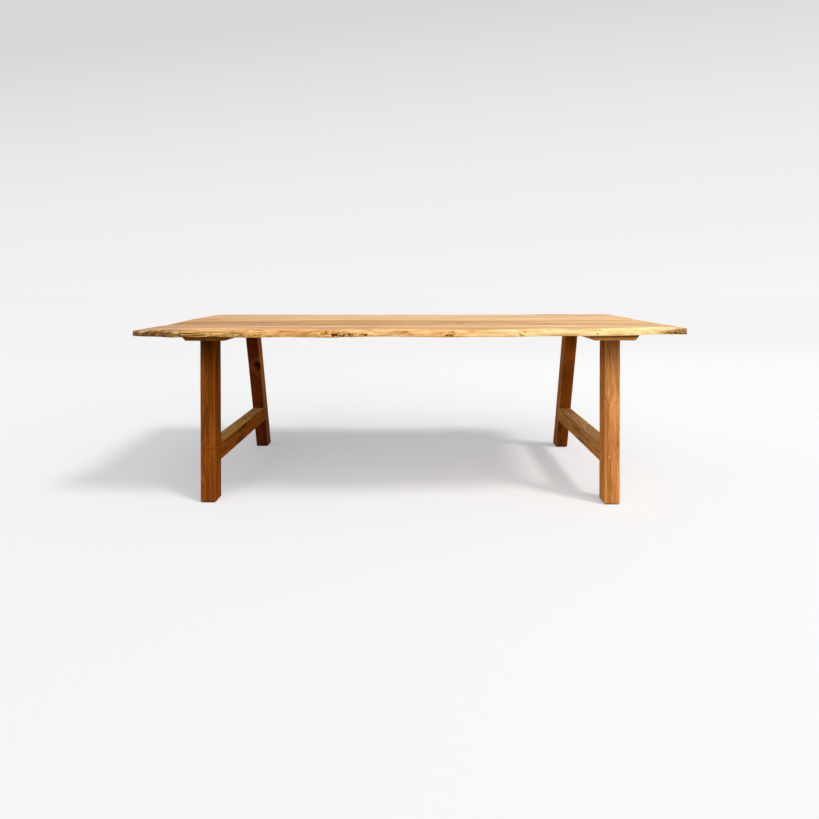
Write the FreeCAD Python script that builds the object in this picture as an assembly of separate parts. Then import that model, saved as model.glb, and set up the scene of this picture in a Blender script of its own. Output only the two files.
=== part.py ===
import FreeCAD, Part
import math
import os

V = FreeCAD.Vector

# Live edge dining table: four boards glued edge to edge, carried by two splayed trestles.
# The origin lies on the floor under the middle of the top. +X runs along the table, +Y to its
# back and +Z up. Lengths are in millimetres and angles in degrees.

# Whole table
TABLE_LENGTH = 2350.0
TABLE_WIDTH = 1030.0
TABLE_HEIGHT = 780.0

# Top: boards and seams, measured across the table
TOP_THICKNESS = 30.0
MIDDLE_SEAM_Y = -68.0
INNER_FRONT_BOARD_WIDTH = 195.0
INNER_BACK_BOARD_WIDTH = 195.0

# Natural edges: the fullest line of the edge, the wane above it and the undercut below it
EDGE_FULLEST_HEIGHT = 9.0
EDGE_UNDERCUT = 6.0
EDGE_WANE = 16.0

# Worn front corners of the face: length of the wear along the edge, and its depth at either tip
TIP_WEAR_LENGTH = 210.0
LEFT_TIP_WEAR = 9.0
RIGHT_TIP_WEAR = 6.0
TIP_PLACE_SHARE = -0.78

# Natural edges from left to right, as shares of half the length and half the width
FRONT_EDGE_SHARES = (
    (-0.993, -0.812), (-0.981, -0.851), (-0.947, -0.886), (-0.903, -0.906), (-0.866, -0.927),
    (-0.836, -0.965), (-0.815, -0.975), (-0.780, -0.960), (-0.706, -0.960), (-0.600, -0.972),
    (-0.551, -0.988), (-0.474, -0.964), (-0.357, -0.970), (-0.280, -0.993), (-0.251, -0.995),
    (-0.222, -0.960), (-0.172, -0.952), (-0.100, -0.922), (0.023, -0.952), (0.160, -0.976),
    (0.240, -0.956), (0.374, -0.955), (0.420, -0.922), (0.517, -0.898), (0.700, -0.892),
    (0.800, -0.840), (0.839, -0.806), (0.873, -0.780), (0.931, -0.774), (0.968, -0.778),
    (0.994, -0.774), (0.999, -0.745),
)
BACK_EDGE_SHARES = (
    (-1.000, 0.930), (-0.991, 0.983), (-0.950, 0.998), (-0.868, 1.000), (-0.732, 0.985),
    (-0.640, 0.984), (-0.560, 0.960), (-0.457, 0.940), (-0.400, 0.925), (-0.300, 0.945),
    (-0.210, 0.905), (-0.110, 0.910), (0.000, 0.930), (0.085, 0.920), (0.190, 0.896),
    (0.275, 0.886), (0.340, 0.912), (0.440, 0.903), (0.480, 0.920), (0.540, 0.884),
    (0.597, 0.900), (0.650, 0.955), (0.760, 0.982), (0.805, 0.932), (0.875, 0.920),
    (0.932, 0.950), (0.966, 0.938), (0.986, 0.880), (0.992, 0.800),
)

# Sawn ends at the front and back side of each board, as shares of half the length
FRONT_BOARD_SEAM_END_SHARES = (-0.938, 0.971)
INNER_FRONT_LEFT_END_SHARES = (-0.938, -0.962)
INNER_FRONT_RIGHT_END_SHARES = (0.973, 0.978)
INNER_BACK_LEFT_END_SHARES = (-0.962, -0.986)
INNER_BACK_RIGHT_END_SHARES = (0.979, 0.974)
BACK_BOARD_SEAM_END_SHARES = (-0.986, 0.990)

# Dowels in the seams
DOWEL_COUNT = 8
DOWEL_DIAMETER = 12.0
DOWEL_LENGTH = 60.0
DOWEL_CHAMFER = 1.0
DOWEL_END_MARGIN = 160.0

# Trestles
TRESTLE_INSET = 281.0
FOOT_SPREAD = 760.0
LEG_SPLAY = 7.85
LEG_WIDTH = 67.0
LEG_DEPTH = 67.0
LEG_ARRIS_RADIUS = 3.0
FOOT_CHAMFER = 2.0
LEG_TENON_WIDTH = 40.0
LEG_TENON_DEPTH = 38.0
LEG_TENON_TOP_GAP = 1.0
WEDGE_LENGTH = 26.0
WEDGE_HEAD = 5.0
WEDGE_TIP = 1.5

# Stretchers and their pins
STRETCHER_CLEARANCE = 169.0
STRETCHER_HEIGHT = 77.0
STRETCHER_TENON_WIDTH = 40.0
STRETCHER_TENON_SHOULDER = 12.0
STRETCHER_TENON_LENGTH = 42.0
PIN_DIAMETER = 8.0
PIN_LENGTH = 56.0
PIN_OFFSET = 13.0

# Battens across the underside of the top
BATTEN_THICKNESS = 32.0
BATTEN_WIDTH = 202.0
BATTEN_BEVEL_WIDTH = 14.0
BATTEN_BEVEL_HEIGHT = 18.0
BATTEN_END_OVERHANG = 26.0

# Screws and washers between the battens and the top
SCREW_ROW_SPACING = 120.0
SCREW_PLACE_SHARES = (-0.88, -0.48, 0.10, 0.68)
SCREW_DIAMETER = 6.0
SCREW_HEAD_DIAMETER = 12.0
SCREW_HEAD_HEIGHT = 4.0
SCREW_TIP_LENGTH = 7.0
SCREW_TOP_COVER = 9.0
SCREW_RECESS_LENGTH = 6.0
SCREW_RECESS_WIDTH = 1.4
SCREW_RECESS_DEPTH = 2.2
WASHER_DIAMETER = 20.0
WASHER_THICKNESS = 1.6
COUNTERBORE_DIAMETER = 23.0
COUNTERBORE_DEPTH = 12.0
SLOT_TRAVEL = 6.0

# Fits
JOINT_CLEARANCE = 0.15
DEPTH_CLEARANCE = 0.8
OVERRUN = 5.0

# Places that follow from the sizes above
HALF_LENGTH = TABLE_LENGTH / 2
HALF_WIDTH = TABLE_WIDTH / 2
TOP_UNDERSIDE_Z = TABLE_HEIGHT - TOP_THICKNESS
SHOULDER_Z = TOP_UNDERSIDE_Z - BATTEN_THICKNESS
FRONT_SEAM_Y = MIDDLE_SEAM_Y - INNER_FRONT_BOARD_WIDTH
BACK_SEAM_Y = MIDDLE_SEAM_Y + INNER_BACK_BOARD_WIDTH
LEAN = math.tan(math.radians(LEG_SPLAY))
LEVEL = 1 / math.cos(math.radians(LEG_SPLAY))
LEG_HALF_DEPTH = LEG_DEPTH / 2 * LEVEL
TENON_TOP_Z = TOP_UNDERSIDE_Z - LEG_TENON_TOP_GAP
STRETCHER_MID_Z = STRETCHER_CLEARANCE + STRETCHER_HEIGHT / 2
WASHER_SEAT_Z = SHOULDER_Z + COUNTERBORE_DEPTH
SCREW_HEAD_Z = WASHER_SEAT_Z - WASHER_THICKNESS
SCREW_TIP_Z = TABLE_HEIGHT - SCREW_TOP_COVER

TRESTLES = (("left", -1), ("right", 1))
LEG_SIDES = (("front", -1), ("back", 1))


def leg_centre(z):
    """Distance of a leg's centre line from the table's long centre plane, at height z."""
    return FOOT_SPREAD / 2 - z * LEAN


BATTEN_HALF_LENGTH = leg_centre(SHOULDER_Z) + LEG_HALF_DEPTH + BATTEN_END_OVERHANG


def trestle_x(side):
    return side * (HALF_LENGTH - TRESTLE_INSET)


def save(node, *solids):
    shape = solids[0] if len(solids) == 1 else Part.makeCompound(list(solids))
    shape.exportStep(f"parts/{node}.step")


def prism_along_x(outline_yz, centre_x, width):
    """Straight prism of the given width on an outline of (y, z) points."""
    corners = [V(centre_x - width / 2, y, z) for y, z in outline_yz]
    return Part.Face(Part.makePolygon(corners + corners[:1])).extrude(V(width, 0, 0))


def cylinder_along_y(x, start_y, end_y, z, radius):
    return Part.makeCylinder(radius, end_y - start_y, V(x, start_y, z), V(0, 1, 0))


def cylinder_along_z(x, y, bottom_z, top_z, radius):
    return Part.makeCylinder(radius, top_z - bottom_z, V(x, y, bottom_z))


def round_long_edges(solid, axis, radius):
    """Ease the edges of a prism that run closest to the given direction."""
    edges = [e for e in solid.Edges if abs(e.tangentAt(e.FirstParameter).dot(axis)) > math.sqrt(0.5)]
    return solid.makeFillet(radius, edges)


# Top

def natural_edge(shares, inset):
    """Points of a natural edge, drawn in by inset."""
    inward = -math.copysign(inset, shares[0][1])
    return [(x_share * HALF_LENGTH, y_share * HALF_WIDTH + inward) for x_share, y_share in shares]


def edge_section(points, seam_y, seam_end_shares, z):
    """Closed wire of an outer board at height z: natural edge, sawn ends and seam."""
    curve = Part.BSplineCurve()
    curve.interpolate([V(x, y, z) for x, y in points])
    left, right = (V(share * HALF_LENGTH, seam_y, z) for share in seam_end_shares)
    edges = [curve.toShape()]
    edges.append(Part.makeLine(curve.EndPoint, right))
    edges.append(Part.makeLine(right, left))
    edges.append(Part.makeLine(left, curve.StartPoint))
    return Part.Wire(edges)


def outer_board(shares, seam_y, seam_end_shares):
    """Board with one natural edge, drawn through its underside, its fullest line and its face."""
    levels = (
        (EDGE_UNDERCUT, TOP_UNDERSIDE_Z),
        (0, TOP_UNDERSIDE_Z + EDGE_FULLEST_HEIGHT),
        (EDGE_WANE, TABLE_HEIGHT),
    )
    wires = [edge_section(natural_edge(shares, inset), seam_y, seam_end_shares, z) for inset, z in levels]
    return Part.makeLoft(wires, True, True)


def tip_wear(side, depth):
    """Prism above a sloping plane, from the seam's end and a point on the edge down to the tip."""
    seam_end_x = FRONT_BOARD_SEAM_END_SHARES[(side + 1) // 2] * HALF_LENGTH
    seam_end = V(seam_end_x, FRONT_SEAM_Y, TABLE_HEIGHT)
    edge_start = V(side * (HALF_LENGTH - TIP_WEAR_LENGTH), -HALF_WIDTH, TABLE_HEIGHT)
    tip = V(side * HALF_LENGTH, TIP_PLACE_SHARE * HALF_WIDTH, TABLE_HEIGHT - depth)
    along = edge_start - seam_end
    middle = (seam_end + edge_start) / 2
    corners = [seam_end - along / 2, edge_start + along / 2, middle + (tip - middle) * 2]
    return Part.Face(Part.makePolygon(corners + corners[:1])).extrude(V(0, 0, TOP_THICKNESS))


def inner_board(front_y, back_y, left_end_shares, right_end_shares):
    """Board with two straight seams and slightly slanted sawn ends."""
    corners = [
        V(left_end_shares[0] * HALF_LENGTH, front_y, TOP_UNDERSIDE_Z),
        V(right_end_shares[0] * HALF_LENGTH, front_y, TOP_UNDERSIDE_Z),
        V(right_end_shares[1] * HALF_LENGTH, back_y, TOP_UNDERSIDE_Z),
        V(left_end_shares[1] * HALF_LENGTH, back_y, TOP_UNDERSIDE_Z),
    ]
    return Part.Face(Part.makePolygon(corners + corners[:1])).extrude(V(0, 0, TOP_THICKNESS))


def dowel_places():
    first = HALF_LENGTH - DOWEL_END_MARGIN
    return [first * (2 * i / (DOWEL_COUNT - 1) - 1) for i in range(DOWEL_COUNT)]


def dowel(x, seam_y):
    half = DOWEL_LENGTH / 2
    z = TABLE_HEIGHT - TOP_THICKNESS / 2
    peg = cylinder_along_y(x, seam_y - half, seam_y + half, z, DOWEL_DIAMETER / 2)
    rims = [e for e in peg.Edges if e.Closed]
    return peg.makeChamfer(DOWEL_CHAMFER, rims)


def dowel_hole(x, seam_y):
    half = DOWEL_LENGTH / 2 + DEPTH_CLEARANCE
    z = TABLE_HEIGHT - TOP_THICKNESS / 2
    return cylinder_along_y(x, seam_y - half, seam_y + half, z, DOWEL_DIAMETER / 2 + JOINT_CLEARANCE)


def build_top():
    boards = {
        "top_board_front": outer_board(
            FRONT_EDGE_SHARES, FRONT_SEAM_Y, FRONT_BOARD_SEAM_END_SHARES),
        "top_board_inner_front": inner_board(
            FRONT_SEAM_Y, MIDDLE_SEAM_Y, INNER_FRONT_LEFT_END_SHARES, INNER_FRONT_RIGHT_END_SHARES),
        "top_board_inner_back": inner_board(
            MIDDLE_SEAM_Y, BACK_SEAM_Y, INNER_BACK_LEFT_END_SHARES, INNER_BACK_RIGHT_END_SHARES),
        "top_board_back": outer_board(
            BACK_EDGE_SHARES, BACK_SEAM_Y, BACK_BOARD_SEAM_END_SHARES),
    }
    wear = [tip_wear(-1, LEFT_TIP_WEAR), tip_wear(1, RIGHT_TIP_WEAR)]
    boards["top_board_front"] = boards["top_board_front"].cut(wear)
    seams = {"front": FRONT_SEAM_Y, "middle": MIDDLE_SEAM_Y, "back": BACK_SEAM_Y}
    holes = [dowel_hole(x, y) for y in seams.values() for x in dowel_places()]
    holes += [pilot_hole(x, y) for _, side in TRESTLES for x, y in screw_places(side)]
    for node, board in boards.items():
        save(node, board.cut(holes))
    for name, y in seams.items():
        save(f"seam_dowels_{name}", *[dowel(x, y) for x in dowel_places()])


# Legs and stretchers

def leg_strip(side, bottom_z, top_z, inner, outer):
    """Outline between two lines parallel to a leg's centre line, measured level from it."""
    low = leg_centre(bottom_z)
    high = leg_centre(top_z)
    return [
        (side * (low + inner), bottom_z), (side * (low + outer), bottom_z),
        (side * (high + outer), top_z), (side * (high + inner), top_z),
    ]


def leg_tenon(x, side, bottom_z, top_z, clearance):
    half = LEG_TENON_DEPTH / 2 * LEVEL + clearance
    outline = leg_strip(side, bottom_z, top_z, -half, half)
    return prism_along_x(outline, x, LEG_TENON_WIDTH + 2 * clearance)


def wedge(x, side, clearance):
    """Tapered key in the top of a leg tenon, across the batten's grain."""
    tip_z = TENON_TOP_Z - WEDGE_LENGTH - clearance
    tip = leg_centre(tip_z)
    head = leg_centre(TENON_TOP_Z)
    tip_half = WEDGE_TIP / 2 + clearance
    head_half = WEDGE_HEAD / 2 + clearance
    outline = [
        (side * (tip - tip_half), tip_z), (side * (tip + tip_half), tip_z),
        (side * (head + head_half), TENON_TOP_Z), (side * (head - head_half), TENON_TOP_Z),
    ]
    return prism_along_x(outline, x, LEG_TENON_WIDTH)


def stretcher_outline(reach, bottom_z, top_z):
    """Outline of a level bar that ends on both legs' inner faces, or past them by reach."""
    low = leg_centre(bottom_z) - LEG_HALF_DEPTH + reach
    high = leg_centre(top_z) - LEG_HALF_DEPTH + reach
    return [(-low, bottom_z), (low, bottom_z), (high, top_z), (-high, top_z)]


def stretcher_tenons(x, clearance, end_clearance):
    """Both tenons of a stretcher as one bar."""
    low_z = STRETCHER_CLEARANCE + STRETCHER_TENON_SHOULDER - clearance
    high_z = STRETCHER_CLEARANCE + STRETCHER_HEIGHT - STRETCHER_TENON_SHOULDER + clearance
    outline = stretcher_outline(STRETCHER_TENON_LENGTH + end_clearance, low_z, high_z)
    return prism_along_x(outline, x, STRETCHER_TENON_WIDTH + 2 * clearance)


def pin_blank(trestle_side, side, clearance, end_clearance):
    """Rod from beyond a leg's outer face through the leg and into the stretcher's tenon."""
    x = trestle_x(trestle_side) - trestle_side * PIN_OFFSET
    face = leg_centre(STRETCHER_MID_Z) + LEG_HALF_DEPTH
    inner = side * (face - PIN_LENGTH - end_clearance)
    outer = side * (face + OVERRUN)
    radius = PIN_DIAMETER / 2 + clearance
    return cylinder_along_y(x, min(inner, outer), max(inner, outer), STRETCHER_MID_Z, radius)


def pin(trestle_side, side):
    """Pin whose end is planed flush with the leg's outer face."""
    x = trestle_x(trestle_side)
    bottom_z = STRETCHER_MID_Z - PIN_DIAMETER
    top_z = STRETCHER_MID_Z + PIN_DIAMETER
    outside = leg_strip(side, bottom_z, top_z, LEG_HALF_DEPTH, LEG_HALF_DEPTH + 2 * OVERRUN)
    return pin_blank(trestle_side, side, 0, 0).cut(prism_along_x(outside, x, LEG_WIDTH))


def leg(trestle_side, side):
    """Splayed leg with a tenon on top, a mortise for the stretcher and a pin hole."""
    x = trestle_x(trestle_side)
    outline = leg_strip(side, 0, SHOULDER_Z, -LEG_HALF_DEPTH, LEG_HALF_DEPTH)
    post = prism_along_x(outline, x, LEG_WIDTH)
    post = round_long_edges(post, V(0, 0, 1), LEG_ARRIS_RADIUS)
    sole = [e for e in post.Edges if abs(e.BoundBox.ZMax) < FOOT_CHAMFER / 2]
    post = post.makeChamfer(FOOT_CHAMFER, sole)
    tenon = leg_tenon(x, side, SHOULDER_Z - OVERRUN, TENON_TOP_Z, 0)
    post = post.fuse(tenon).removeSplitter()
    cuts = [
        wedge(x, side, JOINT_CLEARANCE),
        stretcher_tenons(x, JOINT_CLEARANCE, DEPTH_CLEARANCE),
        pin_blank(trestle_side, side, JOINT_CLEARANCE, DEPTH_CLEARANCE),
    ]
    return post.cut(cuts)


def stretcher(trestle_side):
    """Low bar as wide as the legs, with shoulders cut to their slope."""
    x = trestle_x(trestle_side)
    top_z = STRETCHER_CLEARANCE + STRETCHER_HEIGHT
    bar = prism_along_x(stretcher_outline(0, STRETCHER_CLEARANCE, top_z), x, LEG_WIDTH)
    bar = round_long_edges(bar, V(0, 1, 0), LEG_ARRIS_RADIUS)
    bar = bar.fuse(stretcher_tenons(x, 0, 0)).removeSplitter()
    holes = [pin_blank(trestle_side, side, JOINT_CLEARANCE, DEPTH_CLEARANCE) for _, side in LEG_SIDES]
    return bar.cut(holes)


def build_legs():
    for trestle, trestle_side in TRESTLES:
        x = trestle_x(trestle_side)
        for name, side in LEG_SIDES:
            save(f"leg_{name}_{trestle}", leg(trestle_side, side))
        save(f"leg_wedges_{trestle}", *[wedge(x, side, 0) for _, side in LEG_SIDES])
        save(f"stretcher_{trestle}", stretcher(trestle_side))
        save(f"stretcher_pins_{trestle}", *[pin(trestle_side, side) for _, side in LEG_SIDES])


# Battens, screws and washers

def screw_places(trestle_side):
    rows = (-SCREW_ROW_SPACING / 2, SCREW_ROW_SPACING / 2)
    return [
        (trestle_x(trestle_side) + row, share * BATTEN_HALF_LENGTH)
        for row in rows for share in SCREW_PLACE_SHARES
    ]


def screw(x, y):
    """Pan-head wood screw, driven upwards, with a cross recess in its head."""
    crown_z = SCREW_HEAD_Z - SCREW_HEAD_HEIGHT
    shank_end_z = SCREW_TIP_Z - SCREW_TIP_LENGTH
    head = cylinder_along_z(x, y, crown_z, SCREW_HEAD_Z, SCREW_HEAD_DIAMETER / 2)
    rim = [e for e in head.Edges if e.Closed and e.BoundBox.ZMax < SCREW_HEAD_Z - SCREW_HEAD_HEIGHT / 2]
    head = head.makeFillet(SCREW_HEAD_HEIGHT / 2, rim)
    shank = cylinder_along_z(x, y, SCREW_HEAD_Z, shank_end_z, SCREW_DIAMETER / 2)
    tip = Part.makeCone(SCREW_DIAMETER / 2, 0, SCREW_TIP_LENGTH, V(x, y, shank_end_z))
    body = head.fuse([shank, tip]).removeSplitter()
    length = SCREW_RECESS_LENGTH
    width = SCREW_RECESS_WIDTH
    across = Part.makeBox(length, width, SCREW_RECESS_DEPTH, V(x - length / 2, y - width / 2, crown_z))
    along = Part.makeBox(width, length, SCREW_RECESS_DEPTH, V(x - width / 2, y - length / 2, crown_z))
    return body.cut([across, along])


def pilot_hole(x, y):
    """Hole in the boards for a screw, with room above its tip."""
    radius = SCREW_DIAMETER / 2 + JOINT_CLEARANCE
    return cylinder_along_z(x, y, TOP_UNDERSIDE_Z - OVERRUN, SCREW_TIP_Z + DEPTH_CLEARANCE, radius)


def washer(x, y):
    disc = cylinder_along_z(x, y, SCREW_HEAD_Z, WASHER_SEAT_Z, WASHER_DIAMETER / 2)
    bore = cylinder_along_z(x, y, SCREW_HEAD_Z, WASHER_SEAT_Z, SCREW_DIAMETER / 2 + JOINT_CLEARANCE)
    return disc.cut(bore)


def screw_slot(x, y):
    """Counterbore for washer and head, and above it a slot along the batten for the shank."""
    bore = cylinder_along_z(x, y, SHOULDER_Z - OVERRUN, WASHER_SEAT_Z, COUNTERBORE_DIAMETER / 2)
    radius = SCREW_DIAMETER / 2 + JOINT_CLEARANCE
    top_z = TOP_UNDERSIDE_Z + OVERRUN
    front_y = y - SLOT_TRAVEL / 2
    back_y = y + SLOT_TRAVEL / 2
    ends = [cylinder_along_z(x, end_y, SHOULDER_Z, top_z, radius) for end_y in (front_y, back_y)]
    middle = Part.makeBox(2 * radius, SLOT_TRAVEL, top_z - SHOULDER_Z, V(x - radius, front_y, SHOULDER_Z))
    return bore.fuse([*ends, middle])


def batten(trestle_side):
    """Cross bar under the top with bevelled long sides, leg mortises and screw slots."""
    x = trestle_x(trestle_side)
    half = BATTEN_WIDTH / 2
    foot = half - BATTEN_BEVEL_WIDTH
    bevel_z = SHOULDER_Z + BATTEN_BEVEL_HEIGHT
    section = [
        (-foot, SHOULDER_Z), (foot, SHOULDER_Z), (half, bevel_z),
        (half, TOP_UNDERSIDE_Z), (-half, TOP_UNDERSIDE_Z), (-half, bevel_z),
    ]
    corners = [V(x + offset, -BATTEN_HALF_LENGTH, z) for offset, z in section]
    bar = Part.Face(Part.makePolygon(corners + corners[:1])).extrude(V(0, 2 * BATTEN_HALF_LENGTH, 0))
    bottom_z = SHOULDER_Z - OVERRUN
    top_z = TOP_UNDERSIDE_Z + OVERRUN
    cuts = [leg_tenon(x, side, bottom_z, top_z, JOINT_CLEARANCE) for _, side in LEG_SIDES]
    cuts += [screw_slot(*place) for place in screw_places(trestle_side)]
    return bar.cut(cuts)


def build_battens():
    for trestle, trestle_side in TRESTLES:
        places = screw_places(trestle_side)
        save(f"batten_{trestle}", batten(trestle_side))
        save(f"batten_screws_{trestle}", *[screw(x, y) for x, y in places])
        save(f"batten_washers_{trestle}", *[washer(x, y) for x, y in places])


os.makedirs("parts", exist_ok=True)
build_top()
build_legs()
build_battens()
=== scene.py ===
import math

import bmesh
import bpy
import numpy as np
from mathutils import Euler, Matrix, Vector, noise


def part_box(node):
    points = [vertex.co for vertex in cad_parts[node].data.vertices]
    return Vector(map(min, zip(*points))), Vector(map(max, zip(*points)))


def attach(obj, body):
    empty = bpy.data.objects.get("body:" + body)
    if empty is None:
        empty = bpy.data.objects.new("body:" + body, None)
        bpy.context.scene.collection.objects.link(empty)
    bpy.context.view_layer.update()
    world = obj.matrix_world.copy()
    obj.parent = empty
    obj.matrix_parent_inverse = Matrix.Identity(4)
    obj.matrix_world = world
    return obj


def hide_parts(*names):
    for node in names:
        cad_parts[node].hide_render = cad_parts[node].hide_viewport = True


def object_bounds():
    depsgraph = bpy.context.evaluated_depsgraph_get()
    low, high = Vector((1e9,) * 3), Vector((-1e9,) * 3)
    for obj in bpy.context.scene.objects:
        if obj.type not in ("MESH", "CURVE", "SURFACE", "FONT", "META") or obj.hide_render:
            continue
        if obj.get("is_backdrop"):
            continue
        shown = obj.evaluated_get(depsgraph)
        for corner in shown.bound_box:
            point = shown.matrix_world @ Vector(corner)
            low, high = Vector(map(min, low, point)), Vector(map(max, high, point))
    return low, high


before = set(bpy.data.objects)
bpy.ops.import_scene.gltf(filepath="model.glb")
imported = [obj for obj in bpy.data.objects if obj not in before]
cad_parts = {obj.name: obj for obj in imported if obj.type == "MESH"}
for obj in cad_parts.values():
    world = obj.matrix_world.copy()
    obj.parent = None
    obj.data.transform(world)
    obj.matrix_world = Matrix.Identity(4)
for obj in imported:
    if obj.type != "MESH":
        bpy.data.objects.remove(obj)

# Live edge dining table: a four-board top with two natural edges, on two splayed trestles.
# Metres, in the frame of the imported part: +X along the table to the right, +Y to its back, +Z up.

CAD_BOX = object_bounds()
MM = 0.001

# Sizes read from the frame
BOARD_LOW, BOARD_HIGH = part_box("top_board_front")
TOP_Z = BOARD_HIGH.z
UNDERSIDE_Z = BOARD_LOW.z
THICKNESS = TOP_Z - UNDERSIDE_Z
FRONT_SEAM_Y = BOARD_HIGH.y
MIDDLE_SEAM_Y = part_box("top_board_inner_front")[1].y
BACK_SEAM_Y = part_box("top_board_back")[0].y
HALF_LENGTH = (CAD_BOX[1][0] - CAD_BOX[0][0]) / 2
HALF_WIDTH = (CAD_BOX[1][1] - CAD_BOX[0][1]) / 2
SHOULDER_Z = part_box("batten_left")[0].z
LEG_LOW, LEG_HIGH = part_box("leg_front_right")
LEG_SIZE = LEG_HIGH.x - LEG_LOW.x
TRESTLE_X = (LEG_HIGH.x + LEG_LOW.x) / 2
STRETCHER_LOW, STRETCHER_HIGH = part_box("stretcher_right")

# Lean of the square legs towards the front and the back
LEG_SPLAY = math.radians(7.85)
LEG_HALF_DEPTH = LEG_SIZE / 2 / math.cos(LEG_SPLAY)
FOOT_Y = -LEG_LOW.y - LEG_HALF_DEPTH

# Natural edges from left to right, as shares of half the length and half the width
FRONT_EDGE_SHARES = (
    (-0.993, -0.812), (-0.981, -0.851), (-0.947, -0.886), (-0.903, -0.906), (-0.866, -0.927),
    (-0.836, -0.965), (-0.815, -0.975), (-0.78, -0.96), (-0.706, -0.96), (-0.6, -0.972),
    (-0.551, -0.988), (-0.474, -0.964), (-0.357, -0.97), (-0.28, -0.993), (-0.251, -0.995),
    (-0.222, -0.96), (-0.172, -0.952), (-0.1, -0.922), (0.023, -0.952), (0.16, -0.976),
    (0.24, -0.956), (0.374, -0.955), (0.42, -0.922), (0.517, -0.898), (0.7, -0.892),
    (0.8, -0.84), (0.839, -0.806), (0.873, -0.78), (0.931, -0.774), (0.968, -0.778),
    (0.994, -0.774), (0.999, -0.745),
)
BACK_EDGE_SHARES = (
    (-1.0, 0.93), (-0.991, 0.983), (-0.95, 0.998), (-0.868, 1.0), (-0.732, 0.985),
    (-0.64, 0.984), (-0.56, 0.96), (-0.457, 0.94), (-0.4, 0.925), (-0.3, 0.945),
    (-0.21, 0.905), (-0.11, 0.91), (0.0, 0.93), (0.085, 0.92), (0.19, 0.896),
    (0.275, 0.886), (0.34, 0.912), (0.44, 0.903), (0.48, 0.92), (0.54, 0.884),
    (0.597, 0.9), (0.65, 0.955), (0.76, 0.982), (0.805, 0.932), (0.875, 0.92),
    (0.932, 0.95), (0.966, 0.938), (0.986, 0.88), (0.992, 0.8),
)

# Sawn ends at the front and back side of each board, as shares of half the length
FRONT_BOARD_SEAM_END_SHARES = (-0.938, 0.971)
INNER_FRONT_END_SHARES = ((-0.938, 0.973), (-0.962, 0.978))
INNER_BACK_END_SHARES = ((-0.962, 0.979), (-0.986, 0.974))
BACK_BOARD_SEAM_END_SHARES = (-0.986, 0.990)

# Worn front corners of the face: length along the edge, depth at either tip, and place of the tips
TIP_WEAR_LENGTH = 210 * MM
TIP_WEAR = {-1: 9 * MM, 1: 6 * MM}
TIP_PLACE_SHARE = -0.78

# Section of a natural edge from the underside up: inset from its fullest line, and height
EDGE_SECTION = [(inset * MM, height * MM) for inset, height in (
    (4.5, 0.0), (2.2, 0.4), (0.6, 1.6), (0.0, 3.6), (0.6, 8.0),
    (2.4, 15.0), (5.8, 22.0), (10.0, 27.2), (14.0, 29.5), (18.0, 30.0),
)]

# Share of a natural edge over which its relief fades in from either end
EDGE_FADE_SHARE = 0.035

# Fineness of the boards' meshes: stations along a board, points up a natural edge, columns across a board
EDGE_STATIONS = 640
INNER_STATIONS = EDGE_STATIONS // 3
EDGE_POINTS = 20
BOARD_COLUMNS = 14

# Eased arrises of the boards: depth at a seam and at a sawn end, and share of the width at a seam
SEAM_EASE = 0.8 * MM
END_EASE = 1.8 * MM
OUTER_SEAM_EASE_SHARE = 0.004
INNER_SEAM_EASE_SHARE = 0.005

# Legs and stretchers: levels along each, points in each eased corner and along each side of a section
LEG_LEVELS = 120
STRETCHER_LEVELS = 90
CORNER_POINTS = 4
SIDE_POINTS = 5

# Heart of the tree, inward from a natural edge's upper arris and below the face
HEART_INWARD = 250 * MM
HEART_BELOW = 190 * MM

# Camera: place, angles, and focal length and optical axis in pixels of the square picture
PICTURE_SIZE = 819
CAMERA_PLACE = (0.0413, -2.4365, 0.964)
CAMERA_TURN = math.radians(-1.0137)
CAMERA_TILT = math.radians(8.2557)
CAMERA_ROLL = math.radians(-0.17)
FOCAL_PIXELS = 484.29
AXIS_ROW = 353.88


def linear(red, green, blue):
    """Screen colour from 0 to 255 as a linear colour for a shader."""
    values = [c / 255 for c in (red, green, blue)]
    return [v / 12.92 if v <= 0.04045 else ((v + 0.055) / 1.055) ** 2.4 for v in values] + [1.0]


def scaled(colour, factor):
    return [c * factor for c in colour[:3]] + [1.0]


def ease(low, high, value):
    """Smooth step from 0 at low to 1 at high."""
    share = min(max((value - low) / (high - low), 0.0), 1.0)
    return share * share * (3 - 2 * share)


def wander(x, y, z, seed):
    """Smooth noise from about -1 to 1."""
    return noise.noise(Vector((x, y, z + 17.3 * seed)))


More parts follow.
